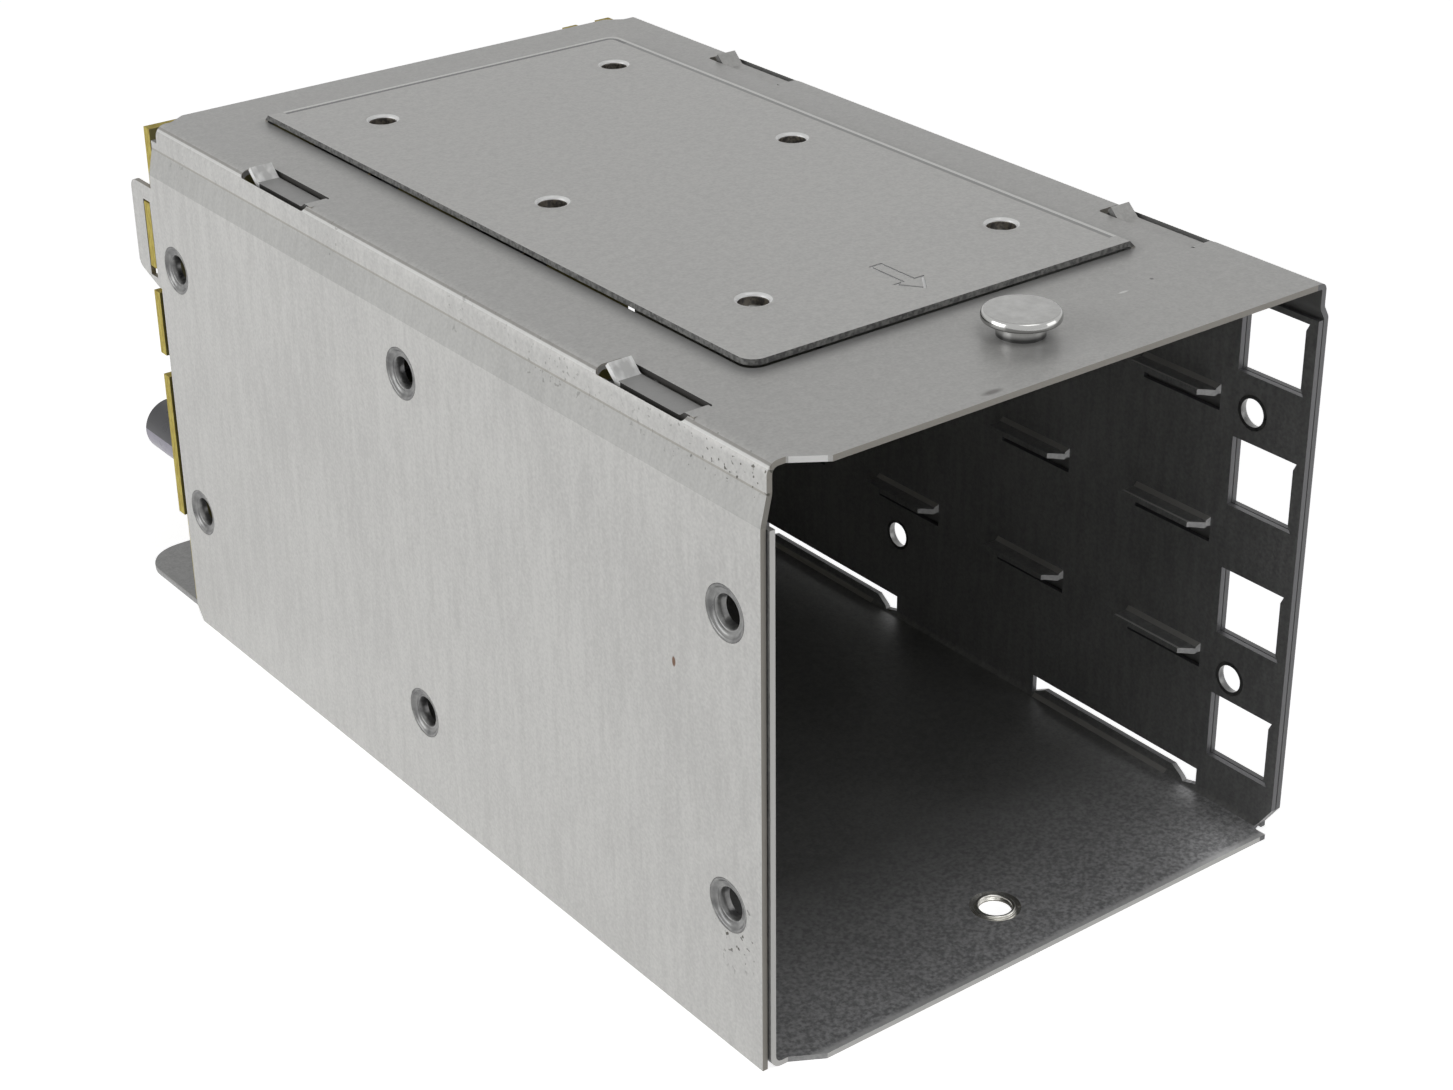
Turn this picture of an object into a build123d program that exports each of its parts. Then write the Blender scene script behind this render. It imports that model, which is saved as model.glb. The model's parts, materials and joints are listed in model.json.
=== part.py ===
from build123d import *
import os

os.makedirs("parts", exist_ok=True)

# Hot swap drive cage: four stacked bays for 2.5 inch drive carriers.
# Millimetres. The open front faces -Y, the backplane stands at the rear, +Z is up.
# Origin: centre of the box around the cage, on the underside of the floor.

# Overall sizes
cage_width = 79.0
wall_depth = 130.4
front_lip = 2.6
tongue_length = 21.1
tongue_corner_radius = 6.0
bay_count = 4
bay_pitch = 17.5
bay_rest_height = 3.5
cage_height = bay_rest_height + bay_count * bay_pitch

# Sheet metal
gauge = 0.7
sheet_gap = 0.15
bend_radius = 1.5
tight_bend_radius = 0.9
corner_radius = 0.5

# Derived positions
half_width = cage_width / 2
left_side = -half_width
right_side = half_width
total_depth = front_lip + wall_depth + tongue_length
front_edge = -total_depth / 2
wall_front = front_edge + front_lip
wall_rear = wall_front + wall_depth
inner_skin = half_width - gauge - sheet_gap
inner_face = inner_skin - gauge
through = 4 * gauge

# Joggles that widen the cover below its top corners
joggle_inset = 0.8
left_joggle_low = cage_height - 7.0
left_joggle_high = cage_height - 3.5
right_joggle_low = cage_height - 4.3
right_joggle_high = cage_height - 2.9
joggle_clearance = 0.3

# Front corners of the cover and the floor
corner_flat = 3.2
corner_run = 7.0
floor_setback = 2.2
lower_corner_rise = 3.7
lower_corner_run = 2.1
rear_corner_rise = 2.0
rear_corner_run = 1.5
rear_notch_depth = 1.6
rear_notch_flat = 3.2
rear_notch_run = 5.6
rear_notch_height = 2.4

# Raised platform of the top panel
platform_left = 13.0
platform_right = 10.8
platform_front = 18.3
platform_rear = 9.9
platform_width = cage_width - platform_left - platform_right
platform_length = wall_depth - platform_front - platform_rear
platform_slit = 0.3
platform_rise = gauge + platform_slit
platform_corner = 2.0
platform_x = left_side + platform_left + platform_width / 2
platform_y = wall_front + platform_front + platform_length / 2

# Extruded screw holes of the platform
screw_left = 10.9
screw_right = 7.6
screw_front = 13.4
screw_rear = 10.7
screw_spacing_x = platform_width - screw_left - screw_right
screw_spacing_y = (platform_length - screw_front - screw_rear) / 2
screw_centre_x = platform_x + (screw_left - screw_right) / 2
screw_centre_y = platform_y + (screw_front - screw_rear) / 2
screw_bore = 1.75
collar_wall = 0.55
collar_depth = 1.2
collar_rim = 0.65

# Direction arrow stamped in the platform
arrow_x = platform_x + 0.1
arrow_tip_y = wall_front + platform_front + 3.8
arrow_head_length = 3.2
arrow_length = 8.9
arrow_head_half = 2.35
arrow_shaft_half = 0.95
arrow_line = 0.35
arrow_depth = 0.15

# Spring tongues in the edge slots of the top panel
spring_starts = (13.8, wall_depth - 39.8)
spring_slot_length = 15.7
spring_slot_width = 3.9
spring_slot_inset = 1.0
spring_slot_depth = 1.5
spring_width = 3.0
spring_inset = 1.6
spring_length = 13.9
spring_dip = 0.6
spring_lip = 0.9
spring_lip_run = 1.65
spring_root = 1.0
spring_root_flat = 0.6
spring_root_run = 0.8
spring_bend = 0.75

# Eyelets that join the side walls
eyelet_front = 5.94
eyelet_middle = wall_depth / 2 + 2.9
eyelet_rear = wall_depth - 5.05
eyelet_low = 18.71
eyelet_high = cage_height - 18.92
eyelet_middle_low = 13.49
eyelet_middle_high = cage_height - 13.94
eyelet_spots = (
    (eyelet_front, eyelet_high),
    (eyelet_front, eyelet_low),
    (eyelet_middle, eyelet_middle_high),
    (eyelet_middle, eyelet_middle_low),
    (eyelet_rear, eyelet_high),
    (eyelet_rear, eyelet_low),
)
eyelet_flange = 3.2
eyelet_barrel = 2.2
eyelet_bore = 1.75
eyelet_fit = 0.05
eyelet_dish = 0.75
eyelet_rim = 0.25

# Latch windows of the right wall
window_rise = 3.15
window_height = 9.0
window_front = -0.9
window_length = 9.5
window_relief = 0.45
window_relief_height = 0.9

# Guide ledges lanced out of the inner walls
ledge_columns = 4
ledge_front = 11.0
ledge_pitch = 24.4
ledge_length = 12.5
ledge_reach = 2.5
ledge_chamfer = 1.5
ledge_nose = 0.3
ledge_nose_run = 1.3
ledge_root = 0.5
ledge_window_gap = 0.4

# Low openings of the side walls. The inner walls keep a strip along the floor bend in them.
low_opening_starts = (10.0, 68.0)
low_opening_length = 30.0
low_opening_height = 3.7
low_opening_cover_extra = 1.6
strip_height = 2.4
strip_foot = 1.4
strip_dip = 0.95
strip_dip_run = 2.0
strip_rise_run = 2.1
strip_end = 1.2
strip_end_run = 2.3

# Rear ear of the left wall with the slot for the board
ear_reach = 6.0
ear_low = 50.4
ear_high = 64.6
ear_corner = 1.4
ear_slant = 1.9
ear_slot_start = 0.8
ear_slot_width = 1.9
ear_slot_low = 51.7
ear_slot_high = 62.5

# Backplane board
board_gap = 0.9
board_thickness = 1.6
board_low = 1.6
board_high = cage_height - 1.2
board_left_inset = 1.1
board_right_inset = 2.1
board_front = wall_rear + board_gap
board_rear = board_front + board_thickness
board_tab_low = 16.0
board_tab_high = 49.5
board_notch_low = 37.1
board_notch_high = 40.3
board_notch_depth = 2.2
board_slot_tab_low = 53.0
board_slot_tab_high = 62.2
board_stub_width = 2.4
board_stub_height = 0.5
board_stubs = (10.0, 4.3)

# Lugs of the inner right wall and the screws that hold the board to them
lug_heights = (12.0, 60.0)
lug_width = 9.0
lug_reach = 8.8
lug_hole = 1.3
lug_hole_inset = 4.4
screw_shank = 1.25
screw_clearance = 1.7
screw_head = 2.7
screw_head_height = 1.9
screw_tip = 2.4
screw_recess = 0.8
screw_recess_span = 3.0
screw_recess_depth = 1.1
screw_head_rounding = 0.9

# Stud and clinch nut on the middle line
stud_x = 2.2
stud_y = wall_front + 8.0
stud_neck = 2.75
stud_head = 4.45
stud_flat = 4.1
stud_height = 2.85
stud_head_height = 1.08
stud_shank = 2.2
stud_foot_overlap = 0.5
stud_foot_height = 0.6
stud_crown_drop = 0.42
stud_crown_edge = 0.12
stud_under_edge = 0.15
nut_x = 0.8
nut_y = wall_front + 6.7
nut_body = 3.1
nut_bore = 2.0
nut_rim = 2.45
nut_dish = 0.25
nut_lip = 0.15
nut_rounding = 0.12

# Drive receptacles on the front of the board
receptacle_x = -1.0
receptacle_rise = 5.6
receptacle_width = 43.0
receptacle_height = 6.4
receptacle_flange = 2.4
receptacle_nose_width = 36.6
receptacle_nose_height = 5.0
receptacle_reach = 8.4
receptacle_post = 2.2
receptacle_post_extra = 1.0
receptacle_chamfer = 0.5
receptacle_slot_height = 1.3
signal_slot = 10.4
power_slot = 20.8
slot_bridge = 2.4
slot_depth = 5.6
slot_key_width = 1.2
slot_key_height = 2.0
contact_pitch = 1.27
contact_width = 0.6
contact_height = 0.25
contact_length = 5.0
contact_inset = 0.4
signal_contacts = 7
power_contacts = 15

# Power header on the rear of the board
power_x = 18.0
power_z = 48.0
power_columns = 2
power_rows = 4
power_pitch = 4.2
power_wall = 0.6
power_depth = 10.0
power_floor = 1.6
power_latch_width = 4.0
power_latch_height = 1.0
power_pin = 0.8
power_pin_length = 6.4

# Data connector on the rear of the board
data_x = 0.0
data_z = 44.0
data_width = 8.6
data_height = 21.4
data_depth = 10.6
data_shell = 0.4
data_core_gap = 0.3
data_core_depth = 9.0
data_shell_corner = 0.8
data_slot_margin = 1.0
data_slot_width = 2.6
data_slot_depth = 7.0
data_rows = 18
data_pitch = 0.9
data_contact = 0.4
data_contact_end = 0.6

# Status header on the rear of the board
header_x = -14.0
header_z = 50.0
header_columns = 2
header_rows = 5
header_pitch = 2.54
header_wall = 1.1
header_depth = 8.6
header_floor = 2.4
header_side_room = 0.5
header_end_room = 1.5
header_pin = 0.64
header_pin_length = 5.0
header_key = 4.0

# Capacitor on the rear of the board
capacitor_x = left_side + 4.4
capacitor_z = 25.0
capacitor_radius = 3.9
capacitor_length = 9.6
sleeve_wall = 0.12
vent_line = 0.25
vent_span = 4.9
vent_depth = 0.2
can_rounding = 0.5


def across(distance_from_front):
    """Plane across the cage, facing the open front, measured behind the wall's front edge."""
    return Plane.XZ.offset(-(wall_front + distance_from_front))


def drive_bay(index):
    """Height of the surface that a carrier rests on."""
    return bay_rest_height + index * bay_pitch


# Raised platform: the block is added to the panel, the hollow is cut from below it.
# Its left and front edges are sheared, its right and rear edges step down to the panel.
platform_run = platform_rise
with BuildPart() as platform_block:
    with BuildSketch(Plane.XY.offset(cage_height)):
        with Locations((platform_x, platform_y)):
            Rectangle(platform_width + 2 * platform_run, platform_length + 2 * platform_run)
    extrude(amount=platform_rise, taper=45)
    with BuildSketch(Plane.XY.offset(cage_height)):
        with Locations((platform_x + platform_run / 2, platform_y + platform_run / 2)):
            Rectangle(platform_width + platform_run, platform_length + platform_run)
    extrude(amount=platform_rise, mode=Mode.INTERSECT)
    fillet(platform_block.edges().filter_by(Axis.Z).sort_by(Axis.X)[0], radius=platform_corner)

with BuildPart() as platform_hollow:
    add(Pos(0, 0, -gauge) * platform_block.part)

# One spring tongue of the left edge, hinged at its front end and turned up at its rear end
spring_path = (
    (-spring_root, cage_height),
    (spring_root_flat, cage_height),
    (spring_root_flat + spring_root_run, cage_height - spring_dip),
    (spring_length - spring_lip_run, cage_height - spring_dip),
    (spring_length, cage_height + spring_lip),
)
with BuildPart() as spring_tongue:
    with BuildSketch(Plane.YZ):
        with BuildLine():
            FilletPolyline(*spring_path, radius=spring_bend)
            offset(amount=gauge, side=Side.RIGHT)
        make_face()
    extrude(amount=spring_width)

# Outline of the cover, walked along its outer surface from the left wall to the right wall
cover_path = (
    (left_side, 0),
    (left_side, left_joggle_low),
    (left_side + joggle_inset, left_joggle_high),
    (left_side + joggle_inset, cage_height),
    (right_side - joggle_inset, cage_height),
    (right_side - joggle_inset, right_joggle_high),
    (right_side, right_joggle_low),
    (right_side, 0),
)
cover_bends = 3 * (bend_radius,) + 3 * (tight_bend_radius,)

with BuildPart() as outer_cover:
    with BuildSketch(across(wall_depth)):
        with BuildLine():
            FilletPolyline(*cover_path, radius=cover_bends)
            offset(amount=gauge, side=Side.RIGHT)
        make_face()
    extrude(amount=wall_depth + front_lip)

    # front: the left wall starts behind the lip, the panel edge swings forward to it
    with BuildSketch():
        with BuildLine():
            Polyline(
                (left_side - gauge, front_edge - gauge),
                (left_side - gauge, wall_front),
                (left_side + corner_flat, wall_front),
                (left_side + corner_run, front_edge),
                (left_side + corner_run, front_edge - gauge),
                close=True,
            )
        make_face()
    extrude(amount=cage_height + gauge, mode=Mode.SUBTRACT)

    # lower front corner of the right wall
    with BuildSketch(Plane.YZ.offset(right_side - 2 * gauge)):
        with BuildLine():
            Polyline(
                (front_edge - gauge, -gauge),
                (front_edge - gauge, lower_corner_rise),
                (front_edge, lower_corner_rise),
                (front_edge + lower_corner_run, gauge),
                (front_edge + lower_corner_run, -gauge),
                close=True,
            )
        make_face()
    extrude(amount=through, mode=Mode.SUBTRACT)

    # lower rear corners of both walls
    with BuildSketch(Plane.YZ.offset(left_side - gauge)):
        with BuildLine():
            Polyline(
                (wall_rear - rear_corner_run, 0),
                (wall_rear, rear_corner_rise),
                (wall_rear + gauge, rear_corner_rise),
                (wall_rear + gauge, -gauge),
                (wall_rear - rear_corner_run, -gauge),
                close=True,
            )
        make_face()
    extrude(amount=cage_width + 2 * gauge, mode=Mode.SUBTRACT)

    # reliefs in the rear corners of the top panel
    with BuildSketch(Plane.XY.offset(cage_height - rear_notch_height)):
        with BuildLine():
            Polyline(
                (left_side - gauge, wall_rear - rear_notch_depth),
                (left_side + rear_notch_flat, wall_rear - rear_notch_depth),
                (left_side + rear_notch_run, wall_rear),
                (left_side + rear_notch_run, wall_rear + gauge),
                (left_side - gauge, wall_rear + gauge),
                close=True,
            )
        make_face()
        mirror(about=Plane.YZ)
    extrude(amount=rear_notch_height + gauge, mode=Mode.SUBTRACT)

    # raised platform with its extruded screw holes
    add(platform_block.part)
    add(platform_hollow.part, mode=Mode.SUBTRACT)
    platform_top = cage_height + platform_rise
    with BuildSketch(Plane.XY.offset(platform_top - gauge / 2)):
        with Locations((screw_centre_x, screw_centre_y)):
            with GridLocations(screw_spacing_x, screw_spacing_y, 2, 3):
                Circle(screw_bore + collar_wall)
    extrude(amount=-gauge / 2 - collar_depth)
    with BuildSketch(Plane.XY.offset(platform_top)):
        with Locations((screw_centre_x, screw_centre_y)):
            with GridLocations(screw_spacing_x, screw_spacing_y, 2, 3):
                Circle(screw_bore)
    extrude(amount=-gauge - 2 * collar_depth, mode=Mode.SUBTRACT)
    screw_rims = outer_cover.edges().filter_by(GeomType.CIRCLE)
    screw_rims = screw_rims.filter_by(lambda edge: abs(edge.center().Z - platform_top) < 0.01)
    screw_rims = screw_rims.filter_by(lambda edge: abs(edge.radius - screw_bore) < 0.01)
    chamfer(screw_rims, length=collar_rim)

    # direction arrow, a thin stamped outline
    with BuildSketch(Plane.XY.offset(platform_top)):
        with BuildLine():
            Polyline(
                (arrow_x, arrow_tip_y),
                (arrow_x + arrow_head_half, arrow_tip_y + arrow_head_length),
                (arrow_x + arrow_shaft_half, arrow_tip_y + arrow_head_length),
                (arrow_x + arrow_shaft_half, arrow_tip_y + arrow_length),
                (arrow_x - arrow_shaft_half, arrow_tip_y + arrow_length),
                (arrow_x - arrow_shaft_half, arrow_tip_y + arrow_head_length),
                (arrow_x - arrow_head_half, arrow_tip_y + arrow_head_length),
                close=True,
            )
        make_face()
        offset(amount=-arrow_line, mode=Mode.SUBTRACT)
    extrude(amount=-arrow_depth, mode=Mode.SUBTRACT)

    # edge slots and the spring tongues that stand in them
    for start in spring_starts:
        slot_centre_x = half_width - spring_slot_inset - spring_slot_width / 2
        slot_centre_y = wall_front + start + spring_slot_length / 2
        with BuildSketch(Plane.XY.offset(cage_height - spring_slot_depth)):
            with Locations((-slot_centre_x, slot_centre_y), (slot_centre_x, slot_centre_y)):
                RectangleRounded(spring_slot_width, spring_slot_length, corner_radius)
        extrude(amount=spring_slot_depth + gauge, mode=Mode.SUBTRACT)
        with Locations((left_side + spring_inset, wall_front + start, 0)):
            add(spring_tongue.part)
        with Locations((right_side - spring_inset - spring_width, wall_front + start, 0)):
            add(spring_tongue.part)

    # rear ear of the left wall and its slot for the board
    with BuildSketch(Plane.YZ.offset(left_side)):
        with BuildLine():
            FilletPolyline(
                (wall_rear - ear_corner * 2, ear_low),
                (wall_rear + gauge, ear_low),
                (wall_rear + ear_reach, ear_low + ear_slant),
                (wall_rear + ear_reach, ear_high),
                (wall_rear - ear_corner * 2, ear_high),
                radius=ear_corner,
                close=True,
            )
        make_face()
    extrude(amount=gauge)
    ear_slot_y = wall_rear + ear_slot_start + ear_slot_width / 2
    with BuildSketch(Plane.YZ.offset(left_side - gauge)):
        with Locations((ear_slot_y, (ear_slot_low + ear_slot_high) / 2)):
            Rectangle(ear_slot_width, ear_slot_high - ear_slot_low)
    extrude(amount=through, mode=Mode.SUBTRACT)

    # eyelet seats in both walls
    with BuildSketch(Plane.YZ.offset(left_side - gauge)):
        with Locations(*[(wall_front + depth, height) for depth, height in eyelet_spots]):
            Circle(eyelet_flange + eyelet_fit)
    extrude(amount=cage_width + 2 * gauge, mode=Mode.SUBTRACT)

    # latch windows in the right wall
    for bay in range(bay_count):
        low = drive_bay(bay) + window_rise
        high = low + window_height
        near = wall_front + window_front
        far = near + window_length
        with BuildSketch(Plane.YZ.offset(right_side - 2 * gauge)):
            with BuildLine():
                Polyline(
                    (near - window_relief, low),
                    (far, low),
                    (far, high),
                    (near - window_relief, high),
                    (near, high - window_relief_height),
                    (near, low + window_relief_height),
                    close=True,
                )
            make_face()
        extrude(amount=through, mode=Mode.SUBTRACT)

    # low openings of the right wall, open to the bottom edge
    for start in low_opening_starts:
        with BuildSketch(Plane.YZ.offset(right_side - 2 * gauge)):
            with Locations((wall_front + start, 0)):
                Rectangle(
                    low_opening_length + low_opening_cover_extra,
                    low_opening_height,
                    align=(Align.MIN, Align.MIN),
                )
        extrude(amount=through, mode=Mode.SUBTRACT)

    # hole for the stud
    with BuildSketch(Plane.XY.offset(cage_height)):
        with Locations((stud_x, stud_y)):
            Circle(stud_shank + eyelet_fit)
    extrude(amount=-through, mode=Mode.SUBTRACT)

outer_cover.part.label = "outer_cover"
export_step(outer_cover.part, "parts/outer_cover.step")

# One guide ledge of the right wall: flat top, bent root, nose turned down, front end cut at a slant
with BuildPart() as right_ledge:
    with BuildSketch(Plane.YZ.offset(inner_face - ledge_reach)):
        with BuildLine():
            Polyline(
                (0, -ledge_nose),
                (ledge_nose_run, 0),
                (ledge_length, 0),
                (ledge_length, -gauge),
                (ledge_nose_run, -gauge),
                (gauge / 2, -gauge - ledge_nose),
                close=True,
            )
        make_face()
    extrude(amount=ledge_reach + gauge)
    with BuildSketch(Plane.XZ):
        with BuildLine():
            Polyline(
                (inner_face + gauge, ledge_root),
                (inner_face, ledge_root),
                (inner_face - ledge_root, 0),
                (inner_face - ledge_root, -gauge),
                (inner_face + gauge, -gauge),
                close=True,
            )
        make_face()
    extrude(amount=-ledge_length)
    with BuildSketch(Plane.XY.offset(-through)):
        with BuildLine():
            Polyline(
                (inner_face, 0),
                (inner_face - ledge_reach, ledge_chamfer),
                (inner_face - ledge_reach, -gauge),
                (inner_face, -gauge),
                close=True,
            )
        make_face()
    extrude(amount=2 * through, mode=Mode.SUBTRACT)

# Low opening of an inner wall: it leaves a strip whose ends slope down to the floor bend
with BuildPart() as low_opening:
    with BuildSketch(Plane.YZ.offset(inner_face - gauge)):
        with BuildLine():
            Polyline(
                (0, low_opening_height),
                (0, strip_foot),
                (strip_dip_run, strip_dip),
                (strip_dip_run + strip_rise_run, strip_height),
                (low_opening_length - strip_end_run, strip_height),
                (low_opening_length, strip_end),
                (low_opening_length, low_opening_height),
                close=True,
            )
        make_face()
    extrude(amount=3 * gauge)

# The inner chassis is built as its right half, mirrored, then given its one-sided cuts.
right_wall_top = right_joggle_low - joggle_clearance
left_wall_top = left_joggle_low - joggle_clearance
with BuildPart() as inner_chassis:
    with BuildSketch(across(wall_depth)):
        with BuildLine():
            FilletPolyline((0, 0), (inner_skin, 0), (inner_skin, right_wall_top), radius=bend_radius)
            offset(amount=gauge, side=Side.LEFT)
        make_face()
    extrude(amount=wall_depth + front_lip)

    # floor tongue behind the wall
    with BuildSketch():
        tongue_middle = wall_rear + tongue_length / 2
        with Locations((inner_face / 2, tongue_middle)):
            Rectangle(inner_face, tongue_length + 2 * gauge)
        with Locations((inner_face / 2, wall_rear + tongue_length + gauge)):
            Rectangle(inner_face, 2 * gauge, mode=Mode.SUBTRACT)
    extrude(amount=gauge)
    tongue_corner = inner_chassis.edges().filter_by(Axis.Z).sort_by(Axis.Y)[-2:].sort_by(Axis.X)[-1]
    fillet(tongue_corner, radius=tongue_corner_radius)

    # low openings
    for start in low_opening_starts:
        with Locations((0, wall_front + start, 0)):
            add(low_opening.part, mode=Mode.SUBTRACT)

    # guide ledges and the windows below them that they are folded out of
    for column in range(ledge_columns):
        ledge_y = wall_front + ledge_front + column * ledge_pitch
        for bay in range(1, bay_count):
            with BuildSketch(Plane.YZ.offset(inner_face - gauge)):
                with Locations((ledge_y, drive_bay(bay))):
                    Rectangle(
                        ledge_length,
                        ledge_reach + ledge_window_gap,
                        align=(Align.MIN, Align.MAX),
                    )
            extrude(amount=3 * gauge, mode=Mode.SUBTRACT)
            with Locations((0, ledge_y, drive_bay(bay))):
                add(right_ledge.part)

    # eyelet holes
    with BuildSketch(Plane.YZ.offset(inner_face - gauge)):
        with Locations(*[(wall_front + depth, height) for depth, height in eyelet_spots]):
            Circle(eyelet_barrel + eyelet_fit)
    extrude(amount=3 * gauge, mode=Mode.SUBTRACT)

    mirror(about=Plane.YZ)

    # the left wall ends below the deeper joggle
    with BuildSketch(Plane.XY.offset(left_wall_top)):
        with Locations((-half_width, 0)):
            Rectangle(half_width, 2 * total_depth)
    extrude(amount=cage_height, mode=Mode.SUBTRACT)

    # front: the left corner is set back, the floor edge swings forward to the lip
    with BuildSketch(Plane.XY.offset(-gauge)):
        with BuildLine():
            Polyline(
                (left_side - gauge, front_edge - gauge),
                (left_side - gauge, front_edge + floor_setback),
                (left_side + corner_flat, front_edge + floor_setback),
                (left_side + corner_run, front_edge),
                (left_side + corner_run, front_edge - gauge),
                close=True,
            )
        make_face()
    extrude(amount=cage_height, mode=Mode.SUBTRACT)

    # lower front corner of the right wall, with a relief where its bend starts
    with BuildSketch(Plane.YZ.offset(inner_face - bend_radius / 2)):
        with BuildLine():
            Polyline(
                (front_edge - gauge, -gauge),
                (front_edge - gauge, lower_corner_rise),
                (front_edge, lower_corner_rise),
                (front_edge + lower_corner_run, gauge),
                (front_edge + lower_corner_run, -gauge),
                close=True,
            )
        make_face()
    extrude(amount=through, mode=Mode.SUBTRACT)

    # latch windows, matching those of the cover
    for bay in range(bay_count):
        low = drive_bay(bay) + window_rise
        high = low + window_height
        near = wall_front + window_front
        far = near + window_length
        with BuildSketch(Plane.YZ.offset(inner_face - gauge)):
            with BuildLine():
                Polyline(
                    (near - window_relief, low),
                    (far, low),
                    (far, high),
                    (near - window_relief, high),
                    (near, high - window_relief_height),
                    (near, low + window_relief_height),
                    close=True,
                )
            make_face()
        extrude(amount=3 * gauge, mode=Mode.SUBTRACT)

    # lugs for the board screws, bent inward from the rear of the right wall
    for height in lug_heights:
        with BuildSketch(Plane.XY.offset(height - lug_width / 2)):
            with BuildLine():
                FilletPolyline(
                    (inner_skin, wall_rear - bend_radius),
                    (inner_skin, board_front),
                    (inner_face - lug_reach, board_front),
                    radius=bend_radius,
                )
                offset(amount=gauge, side=Side.LEFT)
            make_face()
        extrude(amount=lug_width)
        with BuildSketch(Plane.XZ.offset(-board_front)):
            with Locations((inner_face - lug_hole_inset, height)):
                Circle(lug_hole)
        extrude(amount=2 * gauge, mode=Mode.SUBTRACT)

    # seat of the clinch nut in the floor
    with BuildSketch():
        with Locations((nut_x, nut_y)):
            Circle(nut_body)
    extrude(amount=gauge, mode=Mode.SUBTRACT)

inner_chassis.part.label = "inner_chassis"
export_step(inner_chassis.part, "parts/inner_chassis.step")

# Eyelet of the left wall, turned about the wall's normal: flange in the cover,
# barrel through the inner wall, its mouth dished
eyelet_length = 2 * gauge + sheet_gap
with BuildPart() as wall_eyelet:
    with BuildSketch(Plane.XZ):
        with BuildLine():
            Polyline(
                (0, eyelet_flange),
                (gauge + sheet_gap, eyelet_flange),
                (gauge + sheet_gap, eyelet_barrel),
                (eyelet_length, eyelet_barrel),
                (eyelet_length, eyelet_bore),
                (eyelet_dish, eyelet_bore),
                (0, eyelet_flange - eyelet_rim),
                close=True,
            )
        make_face()
    revolve(axis=Axis.X)

with BuildPart() as left_wall_eyelets:
    with Locations(*[(left_side, wall_front + depth, height) for depth, height in eyelet_spots]):
        add(wall_eyelet.part)

left_wall_eyelets.part.label = "left_wall_eyelets"
export_step(left_wall_eyelets.part, "parts/left_wall_eyelets.step")

with BuildPart() as right_wall_eyelets:
    mirror(left_wall_eyelets.part, about=Plane.YZ)

right_wall_eyelets.part.label = "right_wall_eyelets"
export_step(right_wall_eyelets.part, "parts/right_wall_eyelets.step")

# Mushroom stud riveted into the top panel
with BuildPart() as stud:
    with BuildSketch(Plane.XZ):
        with BuildLine():
            Polyline(
                (0, -gauge - stud_foot_height),
                (stud_shank + stud_foot_overlap, -gauge - stud_foot_height),
                (stud_shank + stud_foot_overlap, -gauge),
                (stud_shank, -gauge),
                (stud_shank, 0),
                (stud_neck, 0),
                (stud_neck, stud_height - stud_head_height),
                (stud_head - stud_under_edge, stud_height - stud_head_height),
                (stud_head, stud_height - stud_head_height + stud_under_edge),
                (stud_head, stud_height - stud_crown_drop),
                (stud_head - stud_crown_edge, stud_height - stud_crown_edge),
                (stud_flat, stud_height),
                (0, stud_height),
                close=True,
            )
        make_face()
    revolve(axis=Axis.Z)

with BuildPart() as top_mushroom_stud:
    with Locations((stud_x, stud_y, cage_height)):
        add(stud.part)

top_mushroom_stud.part.label = "top_mushroom_stud"
export_step(top_mushroom_stud.part, "parts/top_mushroom_stud.step")

# Clinch nut in the floor, flush below, with a rounded rim above
with BuildPart() as clinch_nut:
    with BuildSketch(Plane.XZ):
        with BuildLine():
            Polyline(
                (nut_bore, 0),
                (nut_body, 0),
                (nut_body, gauge),
                (nut_rim, gauge - nut_dish),
                (nut_rim, gauge + nut_lip),
                (nut_bore, gauge + nut_lip),
                close=True,
            )
        make_face()
    revolve(axis=Axis.Z)
    rim_edges = clinch_nut.edges().filter_by(GeomType.CIRCLE).sort_by(Axis.Z)[-2:]
    chamfer(rim_edges, length=nut_rounding)

with BuildPart() as floor_clinch_nut:
    with Locations((nut_x, nut_y, 0)):
        add(clinch_nut.part)

floor_clinch_nut.part.label = "floor_clinch_nut"
export_step(floor_clinch_nut.part, "parts/floor_clinch_nut.step")

# Backplane board, its left edge tabbed: the upper tab sits in the slot of the ear
board_left = left_side + board_left_inset
board_right = right_side - board_right_inset
with BuildPart() as backplane_board:
    with BuildSketch(Plane.XZ.offset(-board_rear)):
        with Locations(((board_left + board_right) / 2, (board_low + board_high) / 2)):
            Rectangle(board_right - board_left, board_high - board_low)
        with Locations((left_side + board_left_inset, (board_tab_low + board_tab_high) / 2)):
            Rectangle(2 * board_left_inset, board_tab_high - board_tab_low)
        with Locations((left_side + board_left_inset, (board_slot_tab_low + board_slot_tab_high) / 2)):
            Rectangle(2 * board_left_inset, board_slot_tab_high - board_slot_tab_low)
        with Locations((left_side, (board_notch_low + board_notch_high) / 2)):
            Rectangle(2 * board_notch_depth, board_notch_high - board_notch_low, mode=Mode.SUBTRACT)
        with Locations(*[(right_side - place, board_high) for place in board_stubs]):
            Rectangle(board_stub_width, 2 * board_stub_height)
        with Locations(*[(inner_face - lug_hole_inset, height) for height in lug_heights]):
            Circle(screw_clearance, mode=Mode.SUBTRACT)
    extrude(amount=board_thickness)

backplane_board.part.label = "backplane_board"
export_step(backplane_board.part, "parts/backplane_board.step")

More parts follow.
